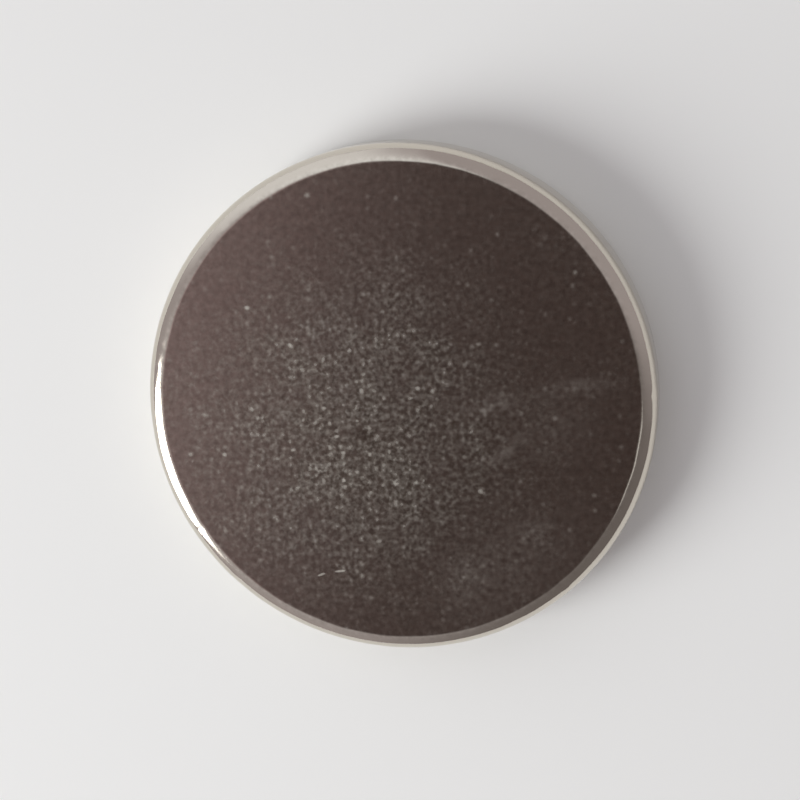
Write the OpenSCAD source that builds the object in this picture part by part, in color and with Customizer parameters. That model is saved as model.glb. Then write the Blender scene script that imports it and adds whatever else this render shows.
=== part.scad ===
// Plain disc magnet, pressed and sintered in one piece, ground flat on both sides,
// tumbled round at its edges and plated all over.
// It lies on its lower face. The origin is the centre of that face and +Z is the disc's axis.

/* [Disc] */
// Outside diameter of the disc
disc_d = 35; // [10:0.5:100]
// Thickness of the disc, from one flat face to the other
disc_t = 5; // [3:0.5:30]

/* [Edges] */
// Radius of the round between each flat face and the outside wall
edge_r = 1.2; // [0.1:0.05:1.4]

/* [Hidden] */

// Bright nickel plate
plate_colour = [0.74, 0.71, 0.67];
// Radius of the outside wall
wall_r = disc_d / 2;
// Radius of each flat face, where its edge round begins
face_r = wall_r - edge_r;
// Height of the straight wall that is left between the two edge rounds
wall_h = disc_t - 2 * edge_r;
// Heights of the centres of the lower and the upper edge round
round_zs = [edge_r, disc_t - edge_r];
// Above 12, both of these carry over as true curves
ROUND_FN = 64;
DISC_FN = 180;

// Half of the disc's section, from its axis at X = 0 to the outside wall
module half_section() {
    // Between the two flat faces
    square([face_r, disc_t]);
    // Out to the straight wall
    translate([0, edge_r])
        square([wall_r, wall_h]);
    // The two edge rounds, each tangent to its flat face and to the wall
    for (z = round_zs)
        translate([face_r, z])
            circle(r = edge_r, $fn = ROUND_FN);
}

// The whole magnet
module disc_magnet() {
    color(plate_colour)
        rotate_extrude($fn = DISC_FN)
            half_section();
}

disc_magnet();
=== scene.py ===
"""A plain disc magnet in bright nickel plate, lying on a pale table under soft studio light.

All lengths are in metres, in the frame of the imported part, unless a name says _mm. The disc lies on
the table at Z = 0 with its axis on +Z. Its diameter and thickness are taken from the frame's own
box, and its other sizes are named values.
"""

import logging
import math
from dataclasses import dataclass, field
from enum import Enum

import bmesh
import bpy
from mathutils import Matrix, Vector, noise


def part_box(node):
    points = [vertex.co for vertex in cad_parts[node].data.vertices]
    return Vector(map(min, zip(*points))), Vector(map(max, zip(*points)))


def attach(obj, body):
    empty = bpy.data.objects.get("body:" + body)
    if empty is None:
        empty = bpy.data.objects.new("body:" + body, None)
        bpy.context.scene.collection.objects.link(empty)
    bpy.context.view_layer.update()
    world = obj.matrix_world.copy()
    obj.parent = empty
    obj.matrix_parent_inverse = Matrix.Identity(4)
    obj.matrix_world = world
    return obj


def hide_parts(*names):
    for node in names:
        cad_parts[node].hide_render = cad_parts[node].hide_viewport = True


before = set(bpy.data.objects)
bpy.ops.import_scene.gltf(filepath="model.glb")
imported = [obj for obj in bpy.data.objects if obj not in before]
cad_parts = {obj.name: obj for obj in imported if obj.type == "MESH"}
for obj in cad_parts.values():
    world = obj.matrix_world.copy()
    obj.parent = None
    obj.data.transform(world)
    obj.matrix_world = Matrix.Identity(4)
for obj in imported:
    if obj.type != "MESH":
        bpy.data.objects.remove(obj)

LOG = logging.getLogger("disc_magnet")
NODE = "disc_magnet"
BODY = "root"
MM = 0.001
# Two heights that differ by less than this are the same
SAME_HEIGHT = MM / 100
# The camera aims at this share of the disc's thickness, counted from the table
AIM_SHARE = 0.75

# How broken up a noise pattern is: rounded blobs, blobs with ripples on them, and two frayed ones
SOFT_NOISE = {"Detail": 1.5, "Roughness": 0.5}
WAVY_NOISE = {"Detail": 2.0, "Roughness": 0.5}
FLECKED_NOISE = {"Detail": 3.0, "Roughness": 0.55}
FRAYED_NOISE = {"Detail": 3.0, "Roughness": 0.6}
# Laid on a place, this keeps its X and Y and drops its Z
LEVEL = (1.0, 1.0, 0.0)

Colour = tuple[float, float, float, float]


def linear(hex_text: str) -> Colour:
    """Turns an sRGB hex colour into linear light.

    Args:
        hex_text: Six hex digits, with or without a leading #.

    Returns:
        Red, green, blue and an alpha of 1.
    """
    digits = hex_text.lstrip("#")
    channels = []
    for start in (0, 2, 4):
        value = int(digits[start:start + 2], 16) / 255
        channels.append(value / 12.92 if value <= 0.04045 else ((value + 0.055) / 1.055) ** 2.4)
    return (*channels, 1.0)


def per_size(size_mm: float) -> float:
    """The scale of a pattern on metre coordinates whose features are size_mm across."""
    return 1 / (size_mm * MM)


def add_node(
    tree: bpy.types.NodeTree,
    kind: str,
    settings: dict[str, object] | None = None,
    inputs: dict[str | int, object] | None = None,
) -> bpy.types.Node:
    """Adds a node, sets its properties and fills or links its inputs.

    Args:
        tree: The node tree that gets the node.
        kind: The node's type, such as ShaderNodeMath.
        settings: Property names with their values.
        inputs: Input names or numbers, each with a plain value or with the output socket to link.

    Returns:
        The new node.
    """
    node = tree.nodes.new(kind)
    for name, value in (settings or {}).items():
        setattr(node, name, value)
    for key, value in (inputs or {}).items():
        if isinstance(value, bpy.types.NodeSocket):
            tree.links.new(value, node.inputs[key])
        else:
            node.inputs[key].default_value = value
    return node


def direction(azimuth_deg: float, elevation_deg: float) -> Vector:
    """A unit vector away from the disc.

    Args:
        azimuth_deg: Its side, counted from +X towards +Y.
        elevation_deg: Its height above level.

    Returns:
        The vector.
    """
    azimuth = math.radians(azimuth_deg)
    elevation = math.radians(elevation_deg)
    level = math.cos(elevation)
    return Vector((level * math.cos(azimuth), level * math.sin(azimuth), math.sin(elevation)))


class MarkKind(Enum):
    """The kinds of single marks that a face carries, each with how softly its border fades."""

    SPECK = 0.9
    TICK = 0.6
    SMEAR = 1.0


@dataclass(frozen=True)
class Mark:
    """One mark at its own place on the face.

    Attributes:
        kind: What the mark is.
        x_mm: Where its middle is, along X.
        y_mm: Where its middle is, along Y.
        length_mm: Its longer size.
        width_mm: Its shorter size.
        strength: How light it is, where 1 is as light as the strongest grain. Below nought the
            mark is a rubbed spot that has lost its grain.
        angle_deg: The way its length runs, from +X towards +Y.
    """

    kind: MarkKind
    x_mm: float
    y_mm: float
    length_mm: float
    width_mm: float
    strength: float
    angle_deg: float = 0.0

    def build(
        self, tree: bpy.types.NodeTree, place: bpy.types.NodeSocket, texture: bpy.types.NodeSocket
    ) -> bpy.types.NodeSocket:
        """Adds the mark's nodes.

        Args:
            tree: The material's node tree.
            place: Object coordinates.
            texture: The broken texture that a smear shows through.

        Returns:
            The mark's strength, nought away from it.
        """
        turned = add_node(
            tree,
            "ShaderNodeVectorRotate",
            {"rotation_type": "Z_AXIS"},
            {
                "Vector": place,
                "Center": (self.x_mm * MM, self.y_mm * MM, 0.0),
                "Angle": -math.radians(self.angle_deg),
            },
        )
        shifted = add_node(
            tree,
            "ShaderNodeVectorMath",
            {"operation": "SUBTRACT"},
            {0: turned.outputs["Vector"], 1: (self.x_mm * MM, self.y_mm * MM, 0.0)},
        )
        scaled = add_node(
            tree,
            "ShaderNodeVectorMath",
            {"operation": "MULTIPLY"},
            {
                0: shifted.outputs["Vector"],
                1: (2 * per_size(self.length_mm), 2 * per_size(self.width_mm), 0.0),
            },
        )
        reach = add_node(
            tree, "ShaderNodeVectorMath", {"operation": "LENGTH"}, {0: scaled.outputs["Vector"]}
        )
        shape = add_node(
            tree,
            "ShaderNodeMapRange",
            {"interpolation_type": "SMOOTHSTEP"},
            {
                "Value": reach.outputs["Value"],
                "From Min": 1.0 - self.kind.value,
                "From Max": 1.0,
                "To Min": self.strength,
                "To Max": 0.0,
            },
        ).outputs["Result"]
        if self.kind is MarkKind.SMEAR:
            shape = add_node(
                tree, "ShaderNodeMath", {"operation": "MULTIPLY"}, {0: shape, 1: texture}
            ).outputs[0]
        return shape


@dataclass(frozen=True)
class SpeckLayer:
    """One layer of light specks that are scattered over a face.

    Attributes:
        spacing_mm: Mean distance from one speck to the next.
        radius_mm: Radius of the largest specks.
        rarity: Power that thins the layer out: the higher, the fewer bright specks.
        weight: How much the layer counts.
    """

    spacing_mm: float
    radius_mm: float
    rarity: float
    weight: float

    def build(self, tree: bpy.types.NodeTree, place: bpy.types.NodeSocket) -> bpy.types.NodeSocket:
        """Adds the layer's nodes.

        Args:
            tree: The material's node tree.
            place: Object coordinates.

        Returns:
            The layer's strength, from nought to its weight.
        """
        cells = add_node(
            tree,
            "ShaderNodeTexVoronoi",
            {"voronoi_dimensions": "2D"},
            {"Vector": place, "Scale": per_size(self.spacing_mm)},
        )
        dot = add_node(
            tree,
            "ShaderNodeMapRange",
            {"interpolation_type": "SMOOTHSTEP"},
            {
                "Value": cells.outputs["Distance"],
                "From Min": 0.0,
                "From Max": self.radius_mm / self.spacing_mm,
                "To Min": 1.0,
                "To Max": 0.0,
            },
        )
        chance = add_node(tree, "ShaderNodeSeparateColor", None, {"Color": cells.outputs["Color"]})
        share = add_node(
            tree, "ShaderNodeMath", {"operation": "POWER"}, {0: chance.outputs[0], 1: self.rarity}
        )
        weighted = add_node(
            tree, "ShaderNodeMath", {"operation": "MULTIPLY"}, {0: share.outputs[0], 1: self.weight}
        )
        return add_node(
            tree,
            "ShaderNodeMath",
            {"operation": "MULTIPLY"},
            {0: weighted.outputs[0], 1: dot.outputs[0]},
        ).outputs[0]


@dataclass(frozen=True)
class BrightNickel:
    """Bright electroplated nickel over a ground and tumbled disc.

    The bath lays down a warm, near-white metal. The wall and the edge rounds were tumbled smooth,
    so they come out close to a mirror. The flat faces were ground, so they are a little duller and
    show a fine light grain, thickest near the middle, with a few specks, scratches and wiped
    streaks.

    Such grain is taken to be about a tenth of a millimetre across, too fine to show at this
    distance, so the flecks, the specks and the film are drawn three to five times as coarse.

    Attributes:
        plate_hex: The bare plate, on the wall and the edge rounds.
        dust_hex: The light grain.
        stain_hex: What the film is tinted with where the grain is thickest.
        film_hexes: The plate of the faces where the film on it is thickest and thinnest.
        film_range: The noise that gives those two.
        face_roughness: Roughness of the ground faces.
        wall_roughness: Roughness of the tumbled wall and edge rounds.
        grain_roughness: What the strongest grain adds to the roughness.
        grain_dullness: How much less metallic the strongest grain is.
        grain_middle: Where on the face the grain is thickest.
        grain_reach_mm: How far from there the grain begins and ends to thin out.
        grain_least: The share of the grain that remains beyond that.
        drift_mm: Size of the drifts that the grain lies in.
        drift_range: The noise between drifts and in them.
        drift_weights: The share of the grain between drifts and in them.
        fleck_mm: Size of the flecks that make up the grain.
        fleck_range: The noise that gives no fleck and a full one.
        fleck_weight: How much the flecks count.
        film_mm: Size of the film's blotches.
        peel_mm: Size of the faces' fine unevenness, as on orange peel.
        peel_height_mm: Its height.
        smear_range: The unevenness that a smear shows on, from not at all to fully.
        wave_mm: Size of the wall's soft waves.
        wave_height_mm: Their height.
        line_mm: Spacing of the ground lines round the wall.
        line_length_mm: Their length.
        line_depth_mm: Their depth.
        layers: Light specks that lie thick where the grain does.
        strays: Light specks all over the faces.
        marks: The marks that have places of their own.
    """

    plate_hex: str = "#D4CDC1"
    dust_hex: str = "#D7D6CB"
    stain_hex: str = "#F5FFFB"
    film_hexes: tuple[str, str] = ("#C4BDB2", "#E2DBCF")
    film_range: tuple[float, float] = (0.3, 0.7)
    face_roughness: float = 0.15
    wall_roughness: float = 0.09
    grain_roughness: float = 0.16
    grain_dullness: float = 0.10
    grain_middle: tuple[float, float, float] = (-3.3 * MM, -1.9 * MM, 0.0)
    grain_reach_mm: tuple[float, float] = (3.0, 16.0)
    grain_least: float = 0.17
    drift_mm: float = 3.0
    drift_range: tuple[float, float] = (0.3, 0.7)
    drift_weights: tuple[float, float] = (0.5, 1.2)
    fleck_mm: float = 0.33
    fleck_range: tuple[float, float] = (0.395, 0.76)
    fleck_weight: float = 0.88
    film_mm: float = 0.50
    peel_mm: float = 0.42
    peel_height_mm: float = 0.0045
    smear_range: tuple[float, float] = (0.25, 0.7)
    wave_mm: float = 1.3
    wave_height_mm: float = 0.0020
    line_mm: float = 0.12
    line_length_mm: float = 7.0
    line_depth_mm: float = 0.0005
    layers: tuple[SpeckLayer, ...] = (
        SpeckLayer(spacing_mm=0.46, radius_mm=0.25, rarity=2.4, weight=0.86),
        SpeckLayer(spacing_mm=1.2, radius_mm=0.28, rarity=6.0, weight=1.3),
    )
    strays: SpeckLayer = SpeckLayer(spacing_mm=1.7, radius_mm=0.27, rarity=3.5, weight=0.55)
    marks: tuple[Mark, ...] = (
        Mark(MarkKind.SPECK, -10.3, 6.3, 0.6, 0.5, 1.15),
        Mark(MarkKind.SPECK, -6.1, 14.0, 0.7, 0.6, 0.7),
        Mark(MarkKind.SPECK, 5.5, 4.2, 0.6, 0.4, 0.7),
        Mark(MarkKind.SPECK, 5.7, -5.9, 0.6, 0.5, 0.8),
        Mark(MarkKind.SPECK, 10.7, -0.7, 0.6, 0.5, 0.5),
        Mark(MarkKind.SPECK, -10.1, -0.7, 0.6, 0.5, 0.8),
        Mark(MarkKind.SPECK, -14.4, -4.0, 0.6, 0.5, 0.7),
        Mark(MarkKind.SPECK, 13.4, -5.9, 0.6, 0.5, 0.45),
        Mark(MarkKind.SPECK, -2.4, -2.3, 1.6, 1.3, -0.35),
        Mark(MarkKind.TICK, -5.3, -12.2, 0.8, 0.22, 1.0, 20),
        Mark(MarkKind.TICK, -4.0, -11.9, 1.0, 0.22, 1.0, 8),
        Mark(MarkKind.SMEAR, 6.6, 0.1, 7.5, 2.4, 0.28, 12),
        Mark(MarkKind.SMEAR, 12.3, 1.5, 8.0, 1.8, 0.33, 8),
        Mark(MarkKind.SMEAR, 7.5, -3.0, 6.5, 1.6, 0.36, 41),
        Mark(MarkKind.SMEAR, 11.0, -1.2, 9.0, 7.0, 0.18, 70),
        Mark(MarkKind.SMEAR, 9.2, -8.6, 4.2, 2.4, 0.20, 15),
        Mark(MarkKind.SMEAR, 4.6, -12.1, 5.0, 3.6, 0.22, 65),
        Mark(MarkKind.SMEAR, 8.0, -11.0, 19.0, 9.5, 0.26, 36),
    )

    def build(self, face_radius: float, wall_radius: float) -> bpy.types.Material:
        """Builds the material.

        Args:
            face_radius: Where the flat face ends and its edge round begins.
            wall_radius: Radius of the outside wall.

        Returns:
            The plated finish, with its patterns on Object coordinates.
        """
        material = bpy.data.materials.new("bright_nickel_plate")
        material.use_nodes = True
        tree = material.node_tree
        tree.nodes.clear()
        place = add_node(tree, "ShaderNodeTexCoord").outputs["Object"]
        on_face = self.face_mask(tree, place, face_radius, wall_radius)
        peel = add_node(
            tree,
            "ShaderNodeTexNoise",
            None,
            {"Vector": place, "Scale": per_size(self.peel_mm), **SOFT_NOISE},
        ).outputs[0]
        drift = self.drift(tree, place, on_face)
        grain = self.grain(tree, place, peel, drift, on_face)
        lines = self.ground_lines(tree, place)
        waves = add_node(
            tree,
            "ShaderNodeTexNoise",
            None,
            {"Vector": place, "Scale": per_size(self.wave_mm), **WAVY_NOISE},
        ).outputs[0]
        base_roughness = add_node(
            tree,
            "ShaderNodeMapRange",
            None,
            {"Value": on_face, "To Min": self.wall_roughness, "To Max": self.face_roughness},
        )
        roughness = add_node(
            tree,
            "ShaderNodeMath",
            {"operation": "MULTIPLY_ADD", "use_clamp": True},
            {0: grain, 1: self.grain_roughness, 2: base_roughness.outputs["Result"]},
        )
        metal = add_node(
            tree,
            "ShaderNodeMath",
            {"operation": "MULTIPLY_ADD", "use_clamp": True},
            {0: grain, 1: -self.grain_dullness, 2: 1.0},
        )
        colour = add_node(
            tree,
            "ShaderNodeMix",
            {"data_type": "RGBA"},
            {0: grain, 6: self.film(tree, place, drift, on_face), 7: linear(self.dust_hex)},
        )
        off_face = add_node(tree, "ShaderNodeMath", {"operation": "SUBTRACT"}, {0: 1.0, 1: on_face})
        normal = None
        for height, depth_mm, where in (
            (peel, self.peel_height_mm, drift),
            (waves, self.wave_height_mm, off_face.outputs[0]),
            (lines, self.line_depth_mm, off_face.outputs[0]),
        ):
            inputs = {"Strength": where, "Distance": depth_mm * MM, "Height": height}
            if normal is not None:
                inputs["Normal"] = normal
            normal = add_node(tree, "ShaderNodeBump", None, inputs).outputs["Normal"]
        shader = add_node(
            tree,
            "ShaderNodeBsdfPrincipled",
            None,
            {
                "Base Color": colour.outputs[2],
                "Metallic": metal.outputs[0],
                "Roughness": roughness.outputs[0],
                "Normal": normal,
            },
        )
        add_node(tree, "ShaderNodeOutputMaterial", None, {"Surface": shader.outputs[0]})
        return material

    def face_mask(
        self,
        tree: bpy.types.NodeTree,
        place: bpy.types.NodeSocket,
        face_radius: float,
        wall_radius: float,
    ) -> bpy.types.NodeSocket:
        """Tells the flat faces from the wall.

        Args:
            tree: The material's node tree.
            place: Object coordinates.
            face_radius: Where the flat face ends and its edge round begins.
            wall_radius: Radius of the outside wall.

        Returns:
            One on the flat faces, falling to nought over the inner half of the edge round.
        """
        flat = add_node(
            tree,
            "ShaderNodeVectorMath",
            {"operation": "MULTIPLY"},
            {0: place, 1: LEVEL},
        )
        radius = add_node(
            tree, "ShaderNodeVectorMath", {"operation": "LENGTH"}, {0: flat.outputs["Vector"]}
        )
        mask = add_node(
            tree,
            "ShaderNodeMapRange",
            {"interpolation_type": "SMOOTHSTEP"},
            {
                "Value": radius.outputs["Value"],
                "From Min": face_radius,
                "From Max": (face_radius + wall_radius) / 2,
                "To Min": 1.0,
                "To Max": 0.0,
            },
        )
        return mask.outputs["Result"]

    def film(
        self,
        tree: bpy.types.NodeTree,
        place: bpy.types.NodeSocket,
        drift: bpy.types.NodeSocket,
        on_face: bpy.types.NodeSocket,
    ) -> bpy.types.NodeSocket:
        """Colours the plate under a thin uneven film, which darkens and lightens it by turns.

        Args:
            tree: The material's node tree.
            place: Object coordinates.
            drift: How thick the grain lies, where the film is a touch greener.
            on_face: One on the flat faces and nought on the wall.

        Returns:
            The colour of the plate.
        """
        uneven = add_node(
            tree,
            "ShaderNodeTexNoise",
            None,
            {"Vector": place, "Scale": per_size(self.film_mm), **FRAYED_NOISE},
        ).outputs[0]
        share = add_node(
            tree,
            "ShaderNodeMapRange",
            None,
            {"Value": uneven, "From Min": self.film_range[0], "From Max": self.film_range[1]},
        ).outputs["Result"]
        filmed = add_node(
            tree,
            "ShaderNodeMix",
            {"data_type": "RGBA"},
            {0: share, 6: linear(self.film_hexes[0]), 7: linear(self.film_hexes[1])},
        ).outputs[2]
        stained = add_node(
            tree,
            "ShaderNodeMix",
            {"data_type": "RGBA", "blend_type": "MULTIPLY", "clamp_factor": True},
            {0: drift, 6: filmed, 7: linear(self.stain_hex)},
        ).outputs[2]
        return add_node(
            tree,
            "ShaderNodeMix",
            {"data_type": "RGBA"},
            {0: on_face, 6: linear(self.plate_hex), 7: stained},
        ).outputs[2]

    def drift(
        self, tree: bpy.types.NodeTree, place: bpy.types.NodeSocket, on_face: bpy.types.NodeSocket
    ) -> bpy.types.NodeSocket:
        """Lays the grain in drifts a few millimetres across, which thin out from its middle.

        Args:
            tree: The material's node tree.
            place: Object coordinates.
            on_face: One on the flat faces and nought on the wall.

        Returns:
            How thick the grain lies.
        """
        flat = add_node(
            tree, "ShaderNodeVectorMath", {"operation": "MULTIPLY"}, {0: place, 1: LEVEL}
        )
        reach = add_node(
            tree,
            "ShaderNodeVectorMath",
            {"operation": "DISTANCE"},
            {0: flat.outputs["Vector"], 1: self.grain_middle},
        )
        thick = add_node(
            tree,
            "ShaderNodeMapRange",
            {"interpolation_type": "SMOOTHSTEP"},
            {
                "Value": reach.outputs["Value"],
                "From Min": self.grain_reach_mm[0] * MM,
                "From Max": self.grain_reach_mm[1] * MM,
                "To Min": 1.0,
                "To Max": self.grain_least,
            },
        )
        broad = add_node(
            tree,
            "ShaderNodeTexNoise",
            None,
            {"Vector": place, "Scale": per_size(self.drift_mm), **FRAYED_NOISE},
        )
        patches = add_node(
            tree,
            "ShaderNodeMapRange",
            None,
            {
                "Value": broad.outputs[0],
                "From Min": self.drift_range[0],
                "From Max": self.drift_range[1],
                "To Min": self.drift_weights[0],
                "To Max": self.drift_weights[1],
            },
        )
        total = add_node(
            tree,
            "ShaderNodeMath",
            {"operation": "MULTIPLY"},
            {0: thick.outputs["Result"], 1: patches.outputs["Result"]},
        ).outputs[0]
        return add_node(
            tree, "ShaderNodeMath", {"operation": "MULTIPLY"}, {0: total, 1: on_face}
        ).outputs[0]

    def grain(
        self,
        tree: bpy.types.NodeTree,
        place: bpy.types.NodeSocket,
        peel: bpy.types.NodeSocket,
        drift: bpy.types.NodeSocket,
        on_face: bpy.types.NodeSocket,
    ) -> bpy.types.NodeSocket:
        """Adds up the light grain of the faces and the single marks on it.

        Args:
            tree: The material's node tree.
            place: Object coordinates.
            peel: The faces' fine unevenness, which breaks up the smears.
            drift: How thick the grain lies.
            on_face: One on the flat faces and nought on the wall.

        Returns:
            The strength of the grain, from nought up.
        """
        matting = add_node(
            tree,
            "ShaderNodeTexNoise",
            None,
            {"Vector": place, "Scale": per_size(self.fleck_mm), **FLECKED_NOISE},
        ).outputs[0]
        total = add_node(
            tree,
            "ShaderNodeMapRange",
            None,
            {
                "Value": matting,
                "From Min": self.fleck_range[0],
                "From Max": self.fleck_range[1],
                "To Max": self.fleck_weight,
            },
        ).outputs["Result"]
        for layer in self.layers:
            total = add_node(
                tree,
                "ShaderNodeMath",
                {"operation": "ADD"},
                {0: total, 1: layer.build(tree, place)},
            ).outputs[0]
        grain = add_node(
            tree,
            "ShaderNodeMath",
            {"operation": "MULTIPLY_ADD"},
            {0: total, 1: drift, 2: self.strays.build(tree, place)},
        ).outputs[0]
        broken = add_node(
            tree,
            "ShaderNodeMapRange",
            None,
            {"Value": peel, "From Min": self.smear_range[0], "From Max": self.smear_range[1]},
        ).outputs["Result"]
        for mark in self.marks:
            grain = add_node(
                tree,
                "ShaderNodeMath",
                {"operation": "ADD"},
                {0: grain, 1: mark.build(tree, place, broken)},
            ).outputs[0]
        return add_node(
            tree, "ShaderNodeMath", {"operation": "MULTIPLY"}, {0: grain, 1: on_face}
        ).outputs[0]

    def ground_lines(
        self, tree: bpy.types.NodeTree, place: bpy.types.NodeSocket
    ) -> bpy.types.NodeSocket:
        """Draws the faint ground lines round the wall, fine in height and long round it.

        Args:
            tree: The material's node tree.
            place: Object coordinates.

        Returns:
            The height of the wall's surface, as a share of the lines' depth.
        """
        stretch = add_node(
            tree,
            "ShaderNodeVectorMath",
            {"operation": "MULTIPLY"},
            {
                0: place,
                1: (
                    per_size(self.line_length_mm),
                    per_size(self.line_length_mm),
                    per_size(self.line_mm),
                ),
            },
        )
        lines = add_node(
            tree,
            "ShaderNodeTexNoise",
            None,
            {"Vector": stretch.outputs["Vector"], "Scale": 1.0, **FRAYED_NOISE},
        )
        return lines.outputs[0]


@dataclass(frozen=True)
class MattTable:
    """A pale, matt laminate table top, which has no gloss of its own and holds a soft shadow.

    Attributes:
        hex_text: Its colour.
        lift: How much lighter than its lit colour it looks to the camera and in the metal.
    """

    hex_text: str = "#ECEEEC"
    lift: float = 0.07

    def build(self) -> bpy.types.Material:
        """Builds the material.

        Returns:
            The table's finish.
        """
        material = bpy.data.materials.new("matt_laminate")
        material.use_nodes = True
        tree = material.node_tree
        tree.nodes.clear()
        shader = add_node(
            tree,
            "ShaderNodeBsdfPrincipled",
            None,
            {"Base Color": linear(self.hex_text), "Roughness": 1.0, "Specular IOR Level": 0.0},
        )
        rays = add_node(tree, "ShaderNodeLightPath").outputs
        seen = rays["Is Camera Ray"]
        for ray in ("Is Glossy Ray", "Is Transmission Ray"):
            seen = add_node(
                tree, "ShaderNodeMath", {"operation": "MAXIMUM"}, {0: seen, 1: rays[ray]}
            ).outputs[0]
        strength = add_node(
            tree, "ShaderNodeMath", {"operation": "MULTIPLY"}, {0: seen, 1: self.lift}
        )
        glow = add_node(
            tree,
            "ShaderNodeEmission",
            None,
            {"Color": linear(self.hex_text), "Strength": strength.outputs[0]},
        )
        both = add_node(
            tree, "ShaderNodeAddShader", None, {0: shader.outputs[0], 1: glow.outputs[0]}
        )
        add_node(tree, "ShaderNodeOutputMaterial", None, {"Surface": both.outputs[0]})
        return material


@dataclass(frozen=True)
class Nick:
    """A small dent that handling left on the upper edge round.

    Attributes:
        azimuth_deg: Where it is round the disc, from +X towards +Y.
        tilt_deg: Where it is on the round: 0 at the flat face and 90 at the wall.
        radius_mm: How far it reaches.
        depth_mm: How deep its middle is.
    """

    azimuth_deg: float
    tilt_deg: float
    radius_mm: float
    depth_mm: float


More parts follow.
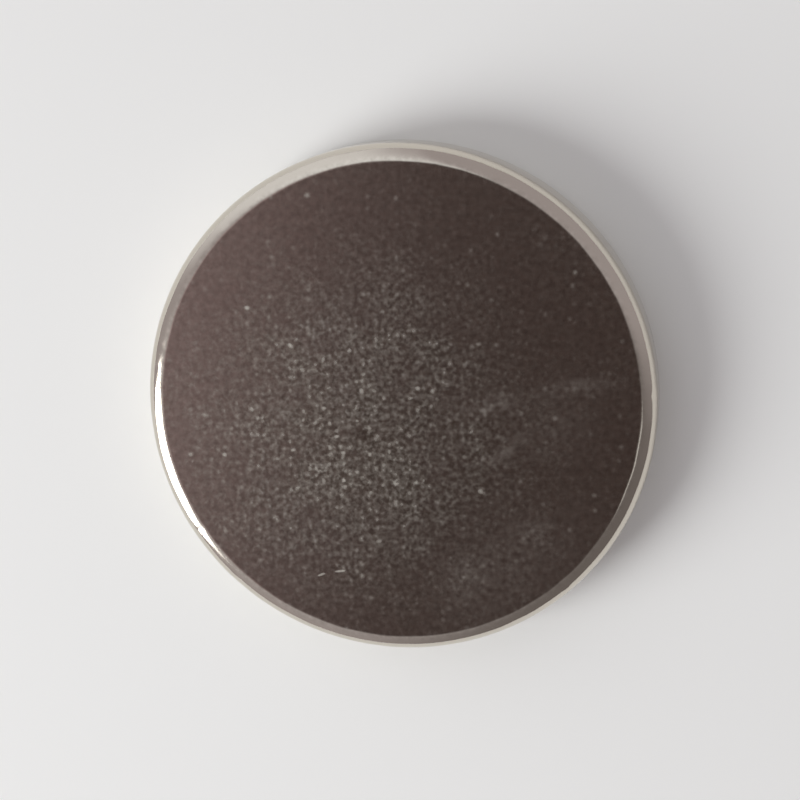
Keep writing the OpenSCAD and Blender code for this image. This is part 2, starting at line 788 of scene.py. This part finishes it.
@dataclass
class DiscMagnet:
    """The magnet itself, in one piece.

    Attributes:
        wall_radius: Radius of the outside wall.
        thickness: Height from one flat face to the other.
        edge_radius: Radius of the round between each face and the wall.
        finish: The plating.
        around: Faces round the disc.
        round_steps: Faces across each edge round.
        ring_widths_mm: Widths of the rings that each flat face is made of, from its edge inwards.
        ripple_mm: Size of the ripples that tumbling left in the edge rounds.
        ripple_depth: How deep the deepest of them goes.
        nicks: The dents in the upper edge round.
    """

    wall_radius: float
    thickness: float
    edge_radius: float = 1.2 * MM
    finish: BrightNickel = field(default_factory=BrightNickel)
    around: int = 720
    round_steps: int = 20
    ring_widths_mm: tuple[float, ...] = (0.05, 2.0, 4.0, 4.0, 4.0)
    ripple_mm: float = 1.6
    ripple_depth: float = 0.035 * MM
    nicks: tuple[Nick, ...] = (
        Nick(azimuth_deg=168, tilt_deg=22, radius_mm=0.50, depth_mm=0.010),
        Nick(azimuth_deg=173, tilt_deg=34, radius_mm=0.40, depth_mm=0.010),
        Nick(azimuth_deg=227, tilt_deg=30, radius_mm=0.40, depth_mm=0.018),
        Nick(azimuth_deg=214, tilt_deg=18, radius_mm=0.36, depth_mm=0.015),
        Nick(azimuth_deg=313, tilt_deg=30, radius_mm=0.40, depth_mm=0.030),
        Nick(azimuth_deg=3, tilt_deg=55, radius_mm=0.40, depth_mm=0.020),
    )

    def build(self) -> bpy.types.Object:
        """Models the disc, dresses it and stands it in for its CAD node.

        Returns:
            The finished piece.
        """
        shape = bmesh.new()
        try:
            self.turn_blank(shape)
            self.round_edges(shape)
            self.ring_faces(shape)
            self.wear_rims(shape)
            mesh = bpy.data.meshes.new("plated_disc")
            bmesh.ops.recalc_face_normals(shape, faces=shape.faces)
            for face in shape.faces:
                face.smooth = True
            shape.to_mesh(mesh)
        finally:
            shape.free()
        face_radius = self.wall_radius - self.edge_radius
        mesh.materials.append(self.finish.build(face_radius, self.wall_radius))
        piece = bpy.data.objects.new("plated_disc", mesh)
        bpy.context.scene.collection.objects.link(piece)
        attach(piece, BODY)
        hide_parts(NODE)
        return piece

    def turn_blank(self, shape: bmesh.types.BMesh) -> None:
        """Makes the sharp-edged disc, standing on Z = 0.

        Args:
            shape: The empty bmesh that gets the disc.
        """
        bmesh.ops.create_cone(
            shape,
            cap_ends=True,
            segments=self.around,
            radius1=self.wall_radius,
            radius2=self.wall_radius,
            depth=self.thickness,
            matrix=Matrix.Translation((0, 0, self.thickness / 2)),
        )

    def round_edges(self, shape: bmesh.types.BMesh) -> None:
        """Rounds both rims to the edge radius.

        Args:
            shape: The sharp-edged disc.
        """
        rims = [
            edge
            for edge in shape.edges
            if abs(edge.verts[0].co.z - edge.verts[1].co.z) < SAME_HEIGHT
        ]
        bmesh.ops.bevel(
            shape,
            geom=rims,
            offset=self.edge_radius,
            offset_type="OFFSET",
            segments=self.round_steps,
            profile=0.5,
            affect="EDGES",
            material=-1,
        )

    def ring_faces(self, shape: bmesh.types.BMesh) -> None:
        """Insets each face in rings, the first so narrow that it shades flat to its edge.

        Args:
            shape: The disc with rounded rims.
        """
        for width_mm in self.ring_widths_mm:
            caps = [face for face in shape.faces if len(face.verts) == self.around]
            bmesh.ops.inset_region(shape, faces=caps, thickness=width_mm * MM, use_even_offset=True)

    def wear_rims(self, shape: bmesh.types.BMesh) -> None:
        """Presses the edge rounds in by hundredths of a millimetre, in ripples and nicks.

        Nothing is pushed outwards, so the disc keeps its size. The faces and the wall stay true.

        Args:
            shape: The disc with rounded rims.
        """
        core_radius = self.wall_radius - self.edge_radius
        for vertex in shape.verts:
            place = vertex.co
            reach = math.hypot(place.x, place.y)
            upper = place.z > self.thickness / 2
            core_height = self.thickness - self.edge_radius if upper else self.edge_radius
            rise = abs(place.z - core_height) if upper == (place.z > core_height) else 0.0
            out = reach - core_radius
            if out <= 0 or rise <= 0:
                continue
            tilt = math.atan2(out, rise)
            way = Vector(
                (place.x / reach * out, place.y / reach * out, place.z - core_height)
            ).normalized()
            ripple = noise.noise(place / (self.ripple_mm * MM)) / 2 + 0.5
            depth = self.ripple_depth * ripple * math.sin(2 * tilt)
            if upper:
                depth += sum(self.nick_depth(nick, place) for nick in self.nicks)
            vertex.co = place - way * depth

    def nick_depth(self, nick: Nick, place: Vector) -> float:
        """How deep a nick is at a place.

        Args:
            nick: The dent.
            place: A point on the upper edge round.

        Returns:
            The depth there, which falls smoothly to nought at the nick's reach.
        """
        azimuth = math.radians(nick.azimuth_deg)
        tilt = math.radians(nick.tilt_deg)
        reach = self.wall_radius - self.edge_radius * (1 - math.sin(tilt))
        height = self.thickness - self.edge_radius * (1 - math.cos(tilt))
        middle = Vector((reach * math.cos(azimuth), reach * math.sin(azimuth), height))
        share = (place - middle).length / (nick.radius_mm * MM)
        return nick.depth_mm * MM * (1 - share**2) ** 2 if share < 1 else 0.0


@dataclass(frozen=True)
class SoftBox:
    """An oval studio softbox that points at the disc.

    Attributes:
        name: The lamp's name.
        azimuth_deg: Its side, from +X towards +Y.
        elevation_deg: Its height above level.
        distance: How far it stands from the disc.
        width: Its level size.
        height: Its other size.
        radiance: How bright its front looks, where 1 is white.
    """

    name: str
    azimuth_deg: float
    elevation_deg: float
    distance: float
    width: float
    height: float
    radiance: float

    def build(self) -> None:
        """Adds the lamp to the scene, pointing at the disc."""
        data = bpy.data.lights.new(self.name, "AREA")
        data.shape = "ELLIPSE"
        data.size = self.width
        data.size_y = self.height
        # An oval's area, and the power that a matt front of that radiance gives off
        area = math.pi / 4 * self.width * self.height
        data.energy = self.radiance * math.pi * area
        lamp = bpy.data.objects.new(self.name, data)
        bpy.context.scene.collection.objects.link(lamp)
        towards = direction(self.azimuth_deg, self.elevation_deg)
        lamp.location = towards * self.distance
        lamp.rotation_euler = (-towards).to_track_quat("-Z", "Y").to_euler()


@dataclass(frozen=True)
class WallSide:
    """One side of the studio's wall that is paler or dimmer than the rest.

    Attributes:
        azimuth_deg: The way to its middle, from +X towards +Y.
        half_width_deg: How far it reaches to either side, fading out all the way.
        hex_text: Its colour.
    """

    azimuth_deg: float
    half_width_deg: float
    hex_text: str

    def build(
        self,
        tree: bpy.types.NodeTree,
        level: bpy.types.NodeSocket,
        walls: bpy.types.NodeSocket | Colour,
    ) -> bpy.types.NodeSocket:
        """Adds the side's nodes.

        Args:
            tree: The world's node tree.
            level: The level direction that is looked in, as a unit vector.
            walls: The colour of the wall without this side.

        Returns:
            The colour of the wall with it.
        """
        towards = add_node(
            tree,
            "ShaderNodeVectorMath",
            {"operation": "DOT_PRODUCT"},
            {0: level, 1: direction(self.azimuth_deg, 0.0)},
        )
        share = add_node(
            tree,
            "ShaderNodeMapRange",
            {"interpolation_type": "SMOOTHSTEP"},
            {
                "Value": towards.outputs["Value"],
                "From Min": math.cos(math.radians(self.half_width_deg)),
            },
        )
        return add_node(
            tree,
            "ShaderNodeMix",
            {"data_type": "RGBA"},
            {0: share.outputs["Result"], 6: walls, 7: linear(self.hex_text)},
        ).outputs[2]


@dataclass
class Studio:
    """The table, the room's light and the camera.

    The disc is close to a mirror, so the room is what gives it its tones: a plain wall that is
    paler on one side and dimmer on the other for the rim, and a dark ceiling for the face.

    Attributes:
        target: The point that the camera looks at.
        camera_azimuth_deg: The camera's side, from +X towards +Y.
        camera_elevation_deg: Its height above level.
        camera_distance: How far it stands from the target.
        lens_mm: Focal length of its lens.
        sensor_mm: Width of its sensor.
        clip_range: The nearest and farthest distance that it sees.
        table_half: Half the table's width.
        ceiling_way: The way to the middle of the dark ceiling.
        ceiling_reach_deg: How far from there it has faded out, and how far it is still whole.
        ceiling_slope: The way along which the ceiling lightens.
        ceiling_fade: Where along it the ceiling is darkest and palest.
        ceiling_hexes: Its darkest and its palest colour.
        wall_hex: The wall's colour.
        sides: The wall's paler and its dimmer side.
        lamps: The lamps.
    """

    target: Vector
    camera_azimuth_deg: float = 52.0
    camera_elevation_deg: float = 76.0
    camera_distance: float = 0.147
    lens_mm: float = 97.0
    sensor_mm: float = 36.0
    clip_range: tuple[float, float] = (0.01, 20.0)
    table_half: float = 4.0
    ceiling_way: Vector = field(
        default_factory=lambda: Vector((-0.08, -0.20, 0.977)).normalized()
    )
    ceiling_reach_deg: tuple[float, float] = (23.0, 13.0)
    ceiling_slope: tuple[float, float, float] = (-1.0, 0.12, 0.0)
    ceiling_fade: tuple[float, float] = (0.12, 0.34)
    ceiling_hexes: tuple[str, str] = ("#403432", "#A0888C")
    wall_hex: str = "#B0A9AC"
    sides: tuple[WallSide, ...] = (
        WallSide(azimuth_deg=130, half_width_deg=40, hex_text="#F0F0F4"),
        WallSide(azimuth_deg=-50, half_width_deg=65, hex_text="#767070"),
    )
    lamps: tuple[SoftBox, ...] = (
        SoftBox(
            name="key_softbox",
            azimuth_deg=205,
            elevation_deg=27,
            distance=0.55,
            width=0.29,
            height=0.52,
            radiance=8.4,
        ),
        SoftBox(
            name="bounce_card",
            azimuth_deg=318,
            elevation_deg=65,
            distance=0.55,
            width=0.12,
            height=0.06,
            radiance=0.6,
        ),
    )

    def build(self) -> None:
        """Builds the whole studio."""
        self.lay_table()
        self.light_room()
        for lamp in self.lamps:
            lamp.build()
        self.place_camera()

    def lay_table(self) -> None:
        """Lays the flat table top that the disc rests on."""
        shape = bmesh.new()
        bmesh.ops.create_grid(shape, x_segments=1, y_segments=1, size=self.table_half)
        mesh = bpy.data.meshes.new("table_top")
        shape.to_mesh(mesh)
        shape.free()
        mesh.materials.append(MattTable().build())
        table = bpy.data.objects.new("table_top", mesh)
        bpy.context.scene.collection.objects.link(table)

    def light_room(self) -> None:
        """Lights the room from all round, with its plain wall and its dark ceiling."""
        world = bpy.data.worlds.new("pale_room")
        bpy.context.scene.world = world
        world.use_nodes = True
        tree = world.node_tree
        tree.nodes.clear()
        way = add_node(tree, "ShaderNodeTexCoord").outputs["Generated"]
        flat = add_node(
            tree, "ShaderNodeVectorMath", {"operation": "MULTIPLY"}, {0: way, 1: LEVEL}
        )
        level = add_node(
            tree, "ShaderNodeVectorMath", {"operation": "NORMALIZE"}, {0: flat.outputs["Vector"]}
        ).outputs["Vector"]
        walls = linear(self.wall_hex)
        for side in self.sides:
            walls = side.build(tree, level, walls)
        along = add_node(
            tree,
            "ShaderNodeVectorMath",
            {"operation": "DOT_PRODUCT"},
            {0: way, 1: self.ceiling_slope},
        ).outputs["Value"]
        fade = add_node(
            tree,
            "ShaderNodeMapRange",
            {"interpolation_type": "SMOOTHSTEP"},
            {"Value": along, "From Min": self.ceiling_fade[0], "From Max": self.ceiling_fade[1]},
        ).outputs["Result"]
        dark, pale = (linear(hex_text) for hex_text in self.ceiling_hexes)
        ceiling = add_node(
            tree, "ShaderNodeMix", {"data_type": "RGBA"}, {0: fade, 6: dark, 7: pale}
        ).outputs[2]
        overhead = add_node(
            tree,
            "ShaderNodeVectorMath",
            {"operation": "DOT_PRODUCT"},
            {0: way, 1: self.ceiling_way},
        ).outputs["Value"]
        above = add_node(
            tree,
            "ShaderNodeMapRange",
            {"interpolation_type": "SMOOTHSTEP"},
            {
                "Value": overhead,
                "From Min": math.cos(math.radians(self.ceiling_reach_deg[0])),
                "From Max": math.cos(math.radians(self.ceiling_reach_deg[1])),
            },
        )
        room = add_node(
            tree,
            "ShaderNodeMix",
            {"data_type": "RGBA"},
            {0: above.outputs["Result"], 6: walls, 7: ceiling},
        )
        background = add_node(tree, "ShaderNodeBackground", None, {"Color": room.outputs[2]})
        add_node(tree, "ShaderNodeOutputWorld", None, {"Surface": background.outputs[0]})

    def place_camera(self) -> None:
        """Sets the camera close above the disc, with +Y up the picture."""
        data = bpy.data.cameras.new("camera")
        data.lens = self.lens_mm
        data.sensor_width = self.sensor_mm
        data.clip_start, data.clip_end = self.clip_range
        camera = bpy.data.objects.new("camera", data)
        bpy.context.scene.collection.objects.link(camera)
        back = direction(self.camera_azimuth_deg, self.camera_elevation_deg)
        right = Vector((0, 1, 0)).cross(back).normalized()
        up = back.cross(right)
        turn = Matrix((right, up, back)).transposed()
        place = self.target + back * self.camera_distance
        camera.matrix_world = Matrix.Translation(place) @ turn.to_4x4()
        bpy.context.scene.camera = camera


def main() -> None:
    logging.basicConfig(level=logging.INFO, format="%(name)s: %(message)s")
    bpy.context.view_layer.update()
    low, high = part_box(NODE)
    disc = DiscMagnet(wall_radius=(high.x - low.x) / 2, thickness=high.z - low.z)
    piece = disc.build()
    LOG.info("%s: %d faces", piece.name, len(piece.data.polygons))
    Studio(target=Vector((0, 0, disc.thickness * AIM_SHARE))).build()
    bpy.context.scene.view_settings.view_transform = "Standard"


if __name__ == "__main__":
    main()
